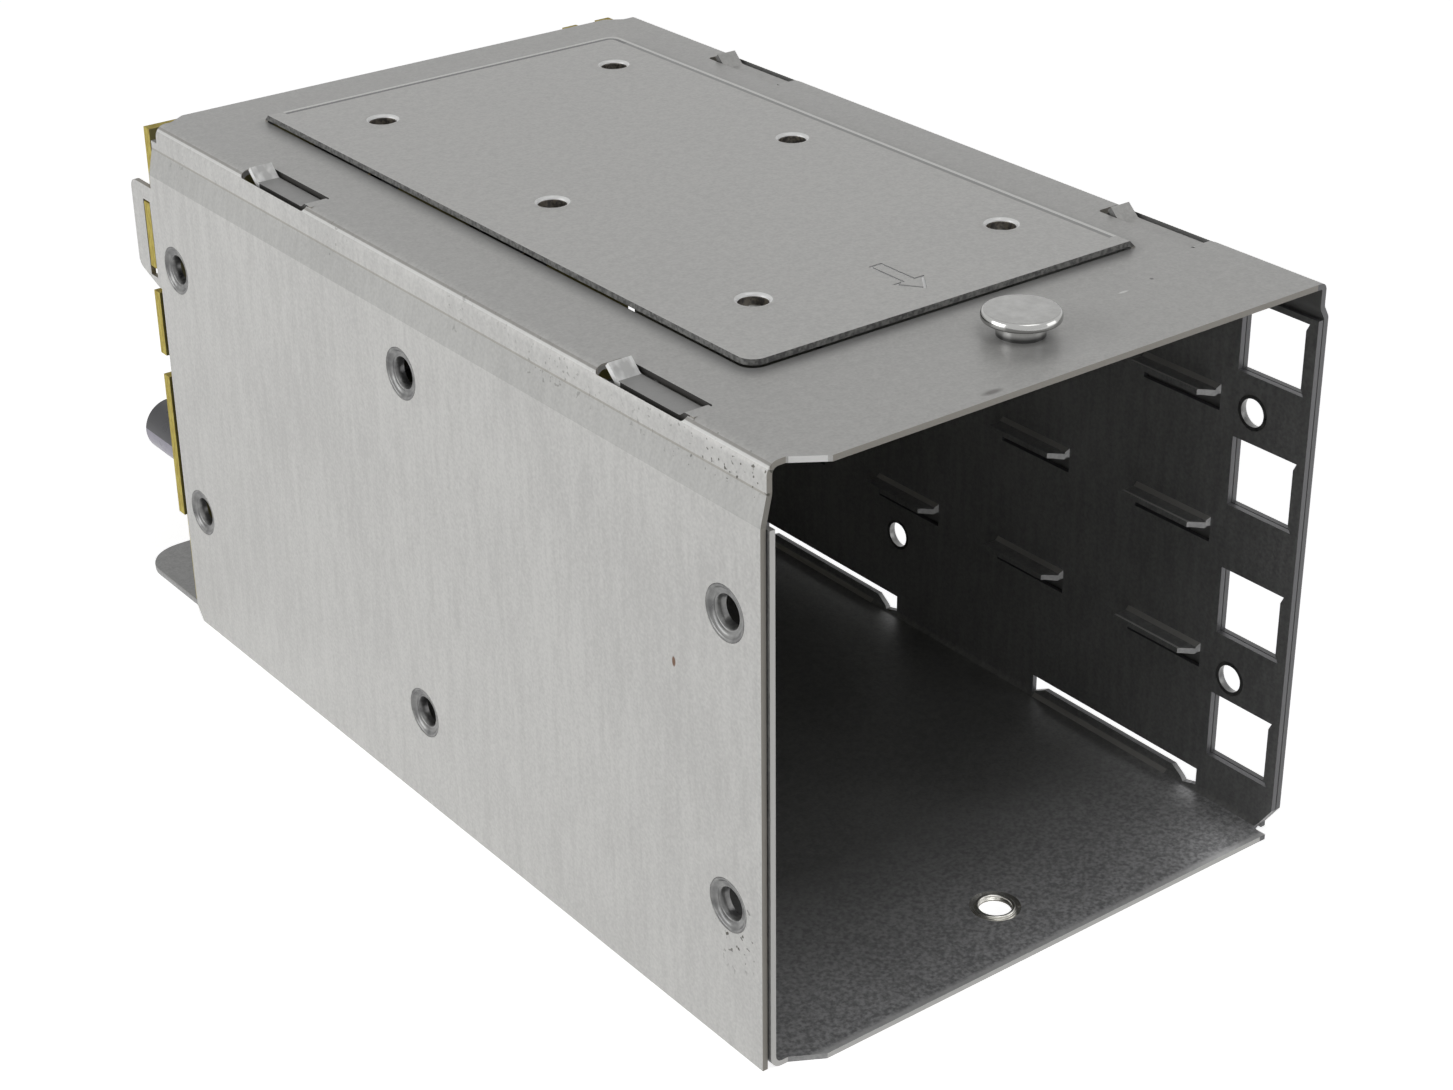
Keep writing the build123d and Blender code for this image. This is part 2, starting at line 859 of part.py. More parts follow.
# Screws that hold the board to the lugs
with BuildPart() as board_screw:
    with BuildSketch(Plane.XZ):
        Circle(screw_head)
    extrude(amount=-screw_head_height)
    chamfer(board_screw.edges().sort_by(Axis.Y)[-1], length=screw_head_rounding)
    with BuildSketch(Plane.XZ):
        Circle(screw_shank)
    extrude(amount=board_thickness + gauge + screw_tip)
    with BuildSketch(Plane.XZ.offset(-screw_head_height)):
        Rectangle(screw_recess_span, screw_recess)
        Rectangle(screw_recess, screw_recess_span)
    extrude(amount=screw_recess_depth, mode=Mode.SUBTRACT)

with BuildPart() as backplane_screws:
    screw_x = inner_face - lug_hole_inset
    with Locations(*[(screw_x, board_rear, height) for height in lug_heights]):
        add(board_screw.part)

backplane_screws.part.label = "backplane_screws"
export_step(backplane_screws.part, "parts/backplane_screws.step")

# Drive receptacle seen from the open front; local origin on the board face
slots_width = signal_slot + slot_bridge + power_slot
signal_slot_x = -slots_width / 2 + signal_slot / 2
power_slot_x = slots_width / 2 - power_slot / 2
with BuildPart() as receptacle:
    with BuildSketch(Plane.XZ):
        Rectangle(receptacle_width, receptacle_height)
    extrude(amount=receptacle_flange)
    with BuildSketch(Plane.XZ):
        Rectangle(receptacle_nose_width, receptacle_nose_height)
    extrude(amount=receptacle_reach)
    post_x = (receptacle_width - receptacle_post) / 2
    with BuildSketch(Plane.XZ):
        with Locations((-post_x, 0), (post_x, 0)):
            Rectangle(receptacle_post, receptacle_nose_height)
    extrude(amount=receptacle_reach + receptacle_post_extra)
    chamfer(receptacle.faces().sort_by(Axis.Y)[:2].edges(), length=receptacle_chamfer)
    with BuildSketch(Plane.XZ.offset(receptacle_reach)):
        with Locations((signal_slot_x, 0)):
            Rectangle(signal_slot, receptacle_slot_height)
        with Locations((power_slot_x, 0)):
            Rectangle(power_slot, receptacle_slot_height)
        key_left = signal_slot_x - signal_slot / 2 + slot_key_width / 2
        key_right = power_slot_x + power_slot / 2 - slot_key_width / 2
        key_z = (receptacle_slot_height - slot_key_height) / 2
        with Locations((key_left, key_z), (key_right, key_z)):
            Rectangle(slot_key_width, slot_key_height)
    extrude(amount=-slot_depth, mode=Mode.SUBTRACT)

with BuildPart() as contact_rows:
    contact_z = receptacle_slot_height / 2 - contact_height / 2
    with BuildSketch(Plane.XZ.offset(receptacle_reach - contact_inset)):
        with Locations((signal_slot_x + slot_key_width / 2, contact_z)):
            with GridLocations(contact_pitch, 1, signal_contacts, 1):
                Rectangle(contact_width, contact_height)
        with Locations((power_slot_x - slot_key_width / 2, contact_z)):
            with GridLocations(contact_pitch, 1, power_contacts, 1):
                Rectangle(contact_width, contact_height)
    extrude(amount=-contact_length)

for bay in range(bay_count):
    receptacle_place = (receptacle_x, board_front, drive_bay(bay) + receptacle_rise)
    with BuildPart() as drive_connector:
        with Locations(receptacle_place):
            add(receptacle.part)
    drive_connector.part.label = f"drive_connector_{bay + 1}"
    export_step(drive_connector.part, f"parts/drive_connector_{bay + 1}.step")
    with BuildPart() as drive_contacts:
        with Locations(receptacle_place):
            add(contact_rows.part)
    drive_contacts.part.label = f"drive_contacts_{bay + 1}"
    export_step(drive_contacts.part, f"parts/drive_contacts_{bay + 1}.step")

# Power header: two columns of square cavities and a latch ramp on its right side
power_width = power_columns * power_pitch + 2 * power_wall
power_height = power_rows * power_pitch + 2 * power_wall
power_plane = Plane.XZ.offset(-board_rear)
with BuildPart() as power_header:
    with BuildSketch(power_plane):
        with Locations((power_x, power_z)):
            Rectangle(power_width, power_height)
    extrude(amount=-power_depth)
    with BuildSketch(power_plane.offset(-power_floor)):
        with Locations((power_x, power_z)):
            with GridLocations(power_pitch, power_pitch, power_columns, power_rows):
                Rectangle(power_pitch - power_wall, power_pitch - power_wall)
    extrude(amount=-power_depth, mode=Mode.SUBTRACT)
    with BuildSketch(Plane.XY.offset(power_z - power_latch_width / 2)):
        with BuildLine():
            latch_foot = power_x + power_width / 2
            Polyline(
                (latch_foot, board_rear + power_depth * 0.4),
                (latch_foot + power_latch_height, board_rear + power_depth * 0.5),
                (latch_foot, board_rear + power_depth * 0.85),
                close=True,
            )
        make_face()
    extrude(amount=power_latch_width)

power_header.part.label = "power_header"
export_step(power_header.part, "parts/power_header.step")

with BuildPart() as power_header_pins:
    with BuildSketch(power_plane.offset(-power_floor)):
        with Locations((power_x, power_z)):
            with GridLocations(power_pitch, power_pitch, power_columns, power_rows):
                Rectangle(power_pin, power_pin)
    extrude(amount=-power_pin_length)

power_header_pins.part.label = "power_header_pins"
export_step(power_header_pins.part, "parts/power_header_pins.step")

# Data connector: formed metal shell around a slotted core with two contact rows
with BuildPart() as data_connector_shell:
    with BuildSketch(Plane.XZ.offset(-board_rear)):
        with Locations((data_x, data_z)):
            RectangleRounded(data_width, data_height, data_shell_corner)
            RectangleRounded(
                data_width - 2 * data_shell,
                data_height - 2 * data_shell,
                data_shell_corner - data_shell,
                mode=Mode.SUBTRACT,
            )
    extrude(amount=-data_depth)

data_connector_shell.part.label = "data_connector_shell"
export_step(data_connector_shell.part, "parts/data_connector_shell.step")

core_width = data_width - 2 * data_shell - 2 * data_core_gap
core_height = data_height - 2 * data_shell - 2 * data_core_gap
with BuildPart() as data_connector_core:
    with BuildSketch(Plane.XZ.offset(-board_rear)):
        with Locations((data_x, data_z)):
            Rectangle(core_width, core_height)
    extrude(amount=-data_core_depth)
    with BuildSketch(Plane.XZ.offset(-board_rear - data_core_depth)):
        with Locations((data_x, data_z)):
            Rectangle(data_slot_width, core_height - 2 * data_slot_margin)
    extrude(amount=data_slot_depth, mode=Mode.SUBTRACT)

data_connector_core.part.label = "data_connector_core"
export_step(data_connector_core.part, "parts/data_connector_core.step")

with BuildPart() as data_connector_contacts:
    contact_column = data_slot_width - data_contact
    with BuildSketch(Plane.XZ.offset(-board_rear - data_core_depth + data_slot_depth)):
        with Locations((data_x, data_z)):
            with GridLocations(contact_column, data_pitch, 2, data_rows):
                Rectangle(data_contact, data_contact)
    extrude(amount=data_contact_end - data_slot_depth)

data_connector_contacts.part.label = "data_connector_contacts"
export_step(data_connector_contacts.part, "parts/data_connector_contacts.step")

# Status header: shrouded pin header with a key slot on its left side
header_width = header_columns * header_pitch + 2 * (header_wall + header_side_room)
header_height = header_rows * header_pitch + 2 * (header_wall + header_end_room)
with BuildPart() as status_header:
    with BuildSketch(Plane.XZ.offset(-board_rear)):
        with Locations((header_x, header_z)):
            Rectangle(header_width, header_height)
    extrude(amount=-header_depth)
    with BuildSketch(Plane.XZ.offset(-board_rear - header_floor)):
        with Locations((header_x, header_z)):
            Rectangle(header_width - 2 * header_wall, header_height - 2 * header_wall)
        with Locations((header_x - header_width / 2, header_z)):
            Rectangle(3 * header_wall, header_key)
    extrude(amount=-header_depth, mode=Mode.SUBTRACT)

status_header.part.label = "status_header"
export_step(status_header.part, "parts/status_header.step")

with BuildPart() as status_header_pins:
    with BuildSketch(Plane.XZ.offset(-board_rear - header_floor)):
        with Locations((header_x, header_z)):
            with GridLocations(header_pitch, header_pitch, header_columns, header_rows):
                Rectangle(header_pin, header_pin)
    extrude(amount=-header_pin_length)

status_header_pins.part.label = "status_header_pins"
export_step(status_header_pins.part, "parts/status_header_pins.step")

# Capacitor: aluminium can with a scored vent, in a shrink sleeve
can_radius = capacitor_radius - sleeve_wall
with BuildPart() as can:
    with BuildSketch(Plane.XZ):
        Circle(can_radius)
    extrude(amount=-capacitor_length)
    chamfer(can.edges().sort_by(Axis.Y)[-1], length=can_rounding)
    with BuildSketch(Plane.XZ.offset(-capacitor_length)):
        Rectangle(vent_span, vent_line)
        Rectangle(vent_line, vent_span)
    extrude(amount=vent_depth, mode=Mode.SUBTRACT)

with BuildPart() as capacitor_can:
    with Locations((capacitor_x, board_rear, capacitor_z)):
        add(can.part)

capacitor_can.part.label = "capacitor_can"
export_step(capacitor_can.part, "parts/capacitor_can.step")

with BuildPart() as sleeve:
    with BuildSketch(Plane.XZ):
        Circle(capacitor_radius)
        Circle(can_radius, mode=Mode.SUBTRACT)
    extrude(amount=can_rounding - capacitor_length)

with BuildPart() as capacitor_sleeve:
    with Locations((capacitor_x, board_rear, capacitor_z)):
        add(sleeve.part)

capacitor_sleeve.part.label = "capacitor_sleeve"
export_step(capacitor_sleeve.part, "parts/capacitor_sleeve.step")
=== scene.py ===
import json
import math

import bpy
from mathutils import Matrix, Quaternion, Vector


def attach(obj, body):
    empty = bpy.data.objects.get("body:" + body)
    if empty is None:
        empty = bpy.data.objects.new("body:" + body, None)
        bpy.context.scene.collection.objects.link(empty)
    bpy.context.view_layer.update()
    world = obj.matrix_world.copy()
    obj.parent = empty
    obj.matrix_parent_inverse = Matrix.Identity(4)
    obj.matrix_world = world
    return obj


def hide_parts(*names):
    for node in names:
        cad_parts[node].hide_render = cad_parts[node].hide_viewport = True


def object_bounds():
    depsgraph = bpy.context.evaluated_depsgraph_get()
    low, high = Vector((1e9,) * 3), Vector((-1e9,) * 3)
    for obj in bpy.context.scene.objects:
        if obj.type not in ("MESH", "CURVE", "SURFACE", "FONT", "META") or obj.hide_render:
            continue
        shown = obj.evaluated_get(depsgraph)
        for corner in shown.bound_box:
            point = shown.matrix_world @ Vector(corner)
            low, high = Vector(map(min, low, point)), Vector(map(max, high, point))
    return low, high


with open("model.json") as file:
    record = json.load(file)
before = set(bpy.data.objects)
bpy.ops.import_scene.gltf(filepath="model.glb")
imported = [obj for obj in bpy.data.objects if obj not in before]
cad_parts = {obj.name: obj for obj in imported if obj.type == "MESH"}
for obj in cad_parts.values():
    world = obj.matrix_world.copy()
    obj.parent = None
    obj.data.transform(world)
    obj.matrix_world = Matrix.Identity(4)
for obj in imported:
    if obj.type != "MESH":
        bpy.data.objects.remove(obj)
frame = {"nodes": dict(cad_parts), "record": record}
size_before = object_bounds()
nodes = frame["nodes"]
mounts = {mount["name"]: mount for mount in frame["record"]["mounts"]}
stud_head = Vector(mounts["stud_head"]["pos_m"])
nut_mouth = Vector(mounts["floor_nut"]["pos_m"])
screws = mounts["platform_screws_corners"]

# Sizes in metres, in the frame of the part: the open front faces -Y, +Z is up
MM = 0.001
front_lip = 2.6 * MM
stud_height = 2.85 * MM
lowest, highest = size_before
half_width = highest.x
wall_front = lowest.y + front_lip
cage_height = stud_head.z - stud_height
floor_front = wall_front - 2.1 * MM

# Bounds that tell the regions of the sheets apart
edge_thickness = 0.75 * MM
bend_zone = 1.6 * MM
wall_zone = 33 * MM
floor_zone = 5 * MM

platform_top = cage_height + 1.0 * MM
platform_centre = (1.1 * MM, wall_front + 69.4 * MM)
platform_half = (27.6 * MM, 51.1 * MM)
platform_corner = 2.0 * MM
arrow_middle = (1.2 * MM, wall_front + 27 * MM)
arrow_half = (4 * MM, 5.5 * MM)
screw_centre = Vector((*screws["pos_m"][:2], platform_top))
screw_spacing_x = screws["dims"]["spacing_x_mm"] * MM
screw_spacing_y = screws["dims"]["spacing_y_mm"] * MM / 2

left_bend_low = cage_height - 7.0 * MM
left_bend_high = cage_height - 3.5 * MM
spring_starts = [wall_front + 13.8 * MM, wall_front + 90.6 * MM]
spring_slot_length = 15.7 * MM
spring_slot_half_width = 1.9 * MM
spring_tongue_half_width = 1.55 * MM
spring_centre_from_side = 3.1 * MM
low_opening_starts = [wall_front + 10.0 * MM, wall_front + 68.0 * MM]
low_opening_length = 30.0 * MM

stud_place = Vector((stud_head.x, stud_head.y, cage_height))
nut_place = Vector((nut_mouth.x, nut_mouth.y, 0))
eyelet_depths_and_heights = [
    (5.94, 54.58),
    (5.94, 18.71),
    (68.1, 59.56),
    (68.1, 13.49),
    (125.35, 54.58),
    (125.35, 18.71),
]


# Materials

def grey(level):
    return (level, level, level)


def cube(grains):
    return (grains, grains, grains)


class Finish:
    """One node material, with short ways to add and join its nodes.

    x, y and z are the place on the object in metres, and facing_x, facing_y and facing_z its normal there.
    """

    def __init__(self, name, color, roughness, metallic=0.0):
        self.material = bpy.data.materials.new(name)
        self.material.use_nodes = True
        self.tree = self.material.node_tree
        self.shader = self.tree.nodes["Principled BSDF"]
        self.shader.inputs["Base Color"].default_value = (*color, 1)
        self.shader.inputs["Roughness"].default_value = roughness
        self.shader.inputs["Metallic"].default_value = metallic
        self.place = self.tree.nodes.new("ShaderNodeTexCoord").outputs["Object"]
        self.x, self.y, self.z = self.axes(self.place)
        normal = self.tree.nodes.new("ShaderNodeNewGeometry").outputs["Normal"]
        self.facing_x, self.facing_y, self.facing_z = self.axes(normal)

    def join(self, source, socket):
        if hasattr(source, "links"):
            self.tree.links.new(source, socket)
        else:
            socket.default_value = source

    def axes(self, vector):
        node = self.tree.nodes.new("ShaderNodeSeparateXYZ")
        self.join(vector, node.inputs[0])
        return node.outputs

    def operate(self, kind, operation, values):
        node = self.tree.nodes.new(kind)
        node.operation = operation
        for value, socket in zip(values, node.inputs):
            self.join(value, socket)
        return node.outputs

    def calc(self, operation, *values):
        return self.operate("ShaderNodeMath", operation, values)[0]

    def vector_calc(self, operation, *values):
        return self.operate("ShaderNodeVectorMath", operation, values)

    def all_of(self, first, *others):
        """The product: 1 only where every value is 1."""
        for value in others:
            first = self.calc("MULTIPLY", first, value)
        return first

    def any_of(self, first, *others):
        """The largest of the values."""
        for value in others:
            first = self.calc("MAXIMUM", first, value)
        return first

    def above(self, value, limit):
        return self.calc("GREATER_THAN", value, limit)

    def below(self, value, limit):
        return self.calc("LESS_THAN", value, limit)

    def near(self, value, middle, reach):
        return self.calc("COMPARE", value, middle, reach)

    def absolute(self, value):
        return self.calc("ABSOLUTE", value)

    def between(self, value, low, high, to_low=0.0, to_high=1.0):
        """The value, carried from the range low to high onto another range and kept inside it."""
        node = self.tree.nodes.new("ShaderNodeMapRange")
        self.join(value, node.inputs["Value"])
        limits = {"From Min": low, "From Max": high, "To Min": to_low, "To Max": to_high}
        for name, number in limits.items():
            node.inputs[name].default_value = number
        return node.outputs["Result"]

    def noise(self, stretch, detail=2.0):
        """Noise whose grains are 1/stretch metres long along X, Y and Z."""
        mapping = self.tree.nodes.new("ShaderNodeMapping")
        self.join(self.place, mapping.inputs["Vector"])
        mapping.inputs["Scale"].default_value = stretch
        node = self.tree.nodes.new("ShaderNodeTexNoise")
        self.join(mapping.outputs[0], node.inputs["Vector"])
        node.inputs["Scale"].default_value = 1
        node.inputs["Detail"].default_value = detail
        return node.outputs["Fac"]

    def spot(self, centre, reach, soft):
        """1 at a place on the object, falling to 0 at its reach over the soft share of the way."""
        offset = self.vector_calc("SUBTRACT", self.place, centre)["Vector"]
        share = self.vector_calc("DIVIDE", offset, reach)["Vector"]
        distance = self.vector_calc("LENGTH", share)["Value"]
        return self.between(distance, 1 - soft, 1, 1, 0)

    def mix(self, amount, first, second):
        node = self.tree.nodes.new("ShaderNodeMix")
        node.data_type = "RGBA"
        self.join(amount, node.inputs["Factor"])
        colors = [socket for socket in node.inputs if socket.type == "RGBA"]
        for value, socket in zip((first, second), colors):
            self.join(value if hasattr(value, "links") else (*value, 1), socket)
        return next(socket for socket in node.outputs if socket.type == "RGBA")

    def lay(self, tone, color, *amounts):
        """The tone with a colour over it, as strong as the product of the amounts."""
        return self.mix(self.all_of(*amounts), tone, color)

    def paint(self, color):
        self.join(color, self.shader.inputs["Base Color"])

    def gloss(self, roughness):
        self.join(roughness, self.shader.inputs["Roughness"])

    def bump(self, height, distance=0.01 * MM):
        node = self.tree.nodes.new("ShaderNodeBump")
        node.inputs["Distance"].default_value = distance
        self.join(height, node.inputs["Height"])
        self.join(node.outputs["Normal"], self.shader.inputs["Normal"])


def cut_edges(finish, wall_inside):
    """1 on the sheared edges of a bent sheet, 0 on its faces."""
    square_on = 0.93
    front_or_rear = finish.above(finish.absolute(finish.facing_y), square_on)
    wall_edge = finish.all_of(
        finish.above(finish.absolute(finish.facing_z), square_on),
        finish.above(finish.absolute(finish.x), wall_inside),
        finish.below(finish.z, cage_height - bend_zone),
    )
    top_edge = finish.all_of(
        finish.above(finish.absolute(finish.facing_x), square_on),
        finish.above(finish.z, cage_height - edge_thickness),
    )
    return finish.any_of(front_or_rear, wall_edge, top_edge)


def shaded_inward_faces(finish):
    """1 on the faces of the cover that look into the cage, 0 on its outer faces; these faces get painted
    shade.
    """
    outward = finish.calc("MULTIPLY", finish.calc("SIGN", finish.x), finish.facing_x)
    wall = finish.all_of(finish.below(outward, -0.5), finish.above(finish.absolute(finish.x), wall_zone))
    roof = finish.below(finish.facing_z, -0.5)
    return finish.any_of(wall, roof)


def bend_highlights(finish):
    """1 on the bends that get a painted highlight: the roots of the guide ledges and the floor bend at the
    low openings.
    """
    slanted = finish.all_of(
        finish.above(finish.absolute(finish.facing_x), 0.35),
        finish.above(finish.facing_z, 0.35),
    )
    strip_half_length = low_opening_length / 2 - 2.7 * MM
    strip_middles = [start + low_opening_length / 2 + 2.3 * MM for start in low_opening_starts]
    strips = [finish.near(finish.y, middle, strip_half_length) for middle in strip_middles]
    return finish.all_of(slanted, finish.any_of(finish.above(finish.z, floor_zone), *strips))


def inside_tones(finish, tone):
    """Adds painted shade over the floor, a light speckle on the floor as painted light that grows towards
    the open front, a painted highlight on the floor's front rim and painted highlights on the noses of the
    front guide ledges.
    """
    level = finish.above(finish.facing_z, 0.9)
    on_floor = finish.all_of(level, finish.below(finish.z, 1.2 * MM))
    # Painted shade: the whole inner floor is darkened a little.
    tone = finish.lay(tone, grey(0.02), on_floor, 0.25)
    # Painted light: a light speckle laid on the floor, strongest at the open front and fading inwards,
    # where light falls in.
    speckle = finish.between(finish.noise(cube(2100)), 0.35, 0.65)
    light = finish.mix(speckle, (0.34, 0.34, 0.35), (0.68, 0.68, 0.69))
    near_front = finish.between(finish.y, wall_front, wall_front + 27 * MM, 1, 0)
    tone = finish.lay(tone, light, on_floor, near_front)
    # Painted highlight along the floor's front rim.
    rim = finish.between(finish.y, floor_front, floor_front + 0.6 * MM, 0.8, 0)
    tone = finish.lay(tone, grey(0.95), on_floor, rim)

    # Painted highlight on the noses of the guide ledges, strongest on the front column nearest the
    # opening.
    nose = finish.near(finish.absolute(finish.x), half_width - 4.0 * MM, 0.3 * MM)
    on_ledge = finish.all_of(nose, level, finish.above(finish.z, floor_zone))
    first_column = finish.between(finish.y, wall_front + 23 * MM, wall_front + 24 * MM, 0.8, 0)
    return finish.lay(tone, (0.8, 0.8, 0.78), on_ledge, first_column)


def platform_distance(finish):
    """Distance from the outline of the raised platform, below 0 on the platform."""
    beyond = []
    for value, centre, half in zip((finish.x, finish.y), platform_centre, platform_half):
        offset = finish.absolute(finish.calc("SUBTRACT", value, centre))
        beyond.append(finish.calc("SUBTRACT", offset, half - platform_corner))
    squares = [finish.calc("POWER", finish.calc("MAXIMUM", value, 0), 2) for value in beyond]
    outside = finish.calc("SQRT", finish.calc("ADD", *squares))
    inside = finish.calc("MINIMUM", finish.calc("MAXIMUM", *beyond), 0)
    return finish.calc("SUBTRACT", finish.calc("ADD", outside, inside), platform_corner)


def step_tones(finish, tone, distance):
    """Adds a slight darkening of the level faces below the platform, a painted shadow band round the
    platform, and the painted highlight and painted shade lines of its formed step.
    """
    raised = finish.above(finish.z, platform_top - 0.15 * MM)
    level = finish.above(finish.facing_z, 0.5)
    low = finish.calc("SUBTRACT", level, finish.calc("MINIMUM", raised, level))
    tone = finish.lay(tone, grey(0.02), low, 0.13)
    # Painted shadow: a dark band on the panel round the platform's edge.
    band = finish.between(distance, 0.7 * MM, 2.6 * MM, 1, 0)
    tone = finish.lay(tone, grey(0.3), band, low, 0.62)

    (middle_x, middle_y), (half_x, half_y) = platform_centre, platform_half
    at_rear = finish.above(finish.y, middle_y + half_y - 4 * MM)
    on_step = finish.all_of(
        finish.any_of(finish.above(finish.x, middle_x + half_x - 4 * MM), at_rear),
        raised,
        finish.above(finish.y, middle_y - half_y + 2.2 * MM),
        finish.above(finish.x, middle_x - half_x + 2.2 * MM),
    )
    # Painted highlight along the crest of the formed step, and painted shade just inside it, stronger at
    # the rear.
    line_half_width = 0.3 * MM
    light_line = finish.near(distance, -0.25 * MM, line_half_width)
    tone = finish.lay(tone, (0.88, 0.88, 0.86), light_line, on_step, 0.7)
    dark_line = finish.near(distance, -0.85 * MM, line_half_width)
    strength = finish.between(at_rear, 0, 1, 0.6, 0.9)
    return finish.lay(tone, grey(0.13), dark_line, on_step, strength)


def platform_tones(finish, tone, fine):
    """Adds the lines of the step, the dull cut edge, a painted highlight on the rolled rims of the holes,
    painted light and shade in the stamped arrow and painted shade in the bores.
    """
    distance = platform_distance(finish)
    tone = step_tones(finish, tone, distance)
    upright = finish.below(finish.absolute(finish.facing_z), 0.3)
    cut_edge = finish.all_of(
        upright,
        finish.above(finish.z, cage_height + 0.15 * MM),
        finish.below(finish.absolute(finish.x), wall_zone),
    )
    speckled = finish.mix(finish.between(fine, 0.35, 0.65), grey(0.09), (0.24, 0.24, 0.23))
    tone = finish.lay(tone, speckled, cut_edge)

    away_from_edge = finish.below(distance, -2 * MM)
    # Painted highlight: the rolled rims of the screw holes are painted near white.
    rim_highlight = finish.all_of(
        finish.near(finish.facing_z, 0.58, 0.36),
        away_from_edge,
        finish.above(finish.z, platform_top - 0.9 * MM),
    )
    tone = finish.lay(tone, (0.95, 0.95, 0.94), rim_highlight)
    # Painted light and shade in the stamped arrow: its groove floor is painted white and its walls darker.
    arrow = finish.all_of(
        finish.near(finish.x, arrow_middle[0], arrow_half[0]),
        finish.near(finish.y, arrow_middle[1], arrow_half[1]),
        finish.any_of(upright, finish.below(finish.z, platform_top)),
    )
    tone = finish.lay(tone, finish.mix(upright, (1.0, 1.0, 0.99), grey(0.4)), arrow)
    # Painted shade: the walls of the bores below the rims are painted dark.
    bore = finish.all_of(
        upright,
        away_from_edge,
        finish.above(finish.z, platform_top - 1.45 * MM),
        finish.below(finish.z, platform_top - 0.2 * MM),
    )
    bore_tone = finish.mix(finish.between(fine, 0.4, 0.6), (0.06, 0.055, 0.05), (0.17, 0.15, 0.12))
    return finish.lay(tone, bore_tone, bore)


def spring_tones(finish, tone):
    """Adds painted shade on the lowered spring tongues, painted highlights on their lips and on the left
    cut edges of the lips, and painted shade on the slot walls.
    """
    slot_middles = [start + spring_slot_length / 2 for start in spring_starts]
    lip_middles = [start + 13.4 * MM for start in spring_starts]
    along_slot = finish.any_of(*[finish.near(finish.y, middle, 8.2 * MM) for middle in slot_middles])
    along_lip = finish.any_of(*[finish.near(finish.y, middle, 1.6 * MM) for middle in lip_middles])
    spring_x = half_width - spring_centre_from_side
    across_slot = finish.near(finish.absolute(finish.x), spring_x, spring_slot_half_width)
    in_slot = finish.all_of(along_slot, across_slot, finish.above(finish.z, cage_height - bend_zone))
    on_tongue = finish.all_of(in_slot, finish.near(finish.x, -spring_x, spring_tongue_half_width))
    # Painted shade: the lowered part of each tongue is darkened.
    tone = finish.lay(tone, grey(0.22), on_tongue, finish.below(finish.z, cage_height - 0.2 * MM), 0.6)

    # Painted highlight on the turned-up lips of the tongues.
    lip = finish.all_of(
        on_tongue,
        finish.near(finish.facing_y, -0.6, 0.4),
        finish.above(finish.facing_z, 0.2),
    )
    shine = finish.between(finish.noise((700, 250, 700)), 0.4, 0.6)
    tone = finish.lay(tone, finish.mix(shine, (0.62, 0.62, 0.61), (0.95, 0.95, 0.94)), lip)
    # Painted shade: the walls of the slots are painted near black.
    slot_wall = finish.all_of(in_slot, finish.below(finish.facing_x, -0.8))
    tone = finish.lay(tone, (0.04, 0.038, 0.035), slot_wall)
    # Painted highlight: the cut edge of the lip facing the left lamp is painted near white.
    cut_lip = finish.all_of(slot_wall, on_tongue, along_lip, finish.below(finish.x, 2 * MM - half_width))
    return finish.lay(tone, (0.95, 0.95, 0.94), cut_lip)


def bend_tones(finish, tone):
    """Adds painted shade on the slanted joggle face of the left wall, a painted shade line along its upper
    bend, painted highlight and shade lines along the top-left bend and a painted highlight on the relief
    notch.
    """
    left = finish.below(finish.x, 0)
    joggle_middle = (left_bend_low + left_bend_high) / 2
    joggle = finish.near(finish.z, joggle_middle, left_bend_high - joggle_middle)
    # Painted shade: the slanted joggle face is darkened, as it gets less light.
    tone = finish.lay(tone, (0.08, 0.09, 0.08), joggle, left, 0.24)
    # Painted shade line along the upper bend of the joggle.
    bend_line = finish.near(finish.z, left_bend_high + 0.05 * MM, 0.12 * MM)
    tone = finish.lay(tone, (0.25, 0.22, 0.17), bend_line, left, 0.5)

    top_left = finish.all_of(left, finish.above(finish.z, cage_height - 0.8 * MM))
    # Painted shade and painted highlight lines along the bend between the top and the left wall.
    dark_line = finish.near(finish.x, 1.35 * MM - half_width, 0.12 * MM)
    tone = finish.lay(tone, (0.2, 0.18, 0.15), dark_line, top_left, 0.45)
    light_line = finish.near(finish.x, 1.1 * MM - half_width, 0.1 * MM)
    tone = finish.lay(tone, (0.9, 0.9, 0.88), light_line, top_left, 0.6)

    # Painted highlight on the cut face of the relief notch.
    notch = finish.all_of(
        finish.near(finish.x, 5.0 * MM - half_width, 1.6 * MM),
        finish.below(finish.y, wall_front + 1 * MM),
        finish.below(finish.facing_y, -0.5),
        finish.above(finish.z, cage_height - edge_thickness),
    )
    return finish.lay(tone, (0.97, 0.97, 0.95), notch)


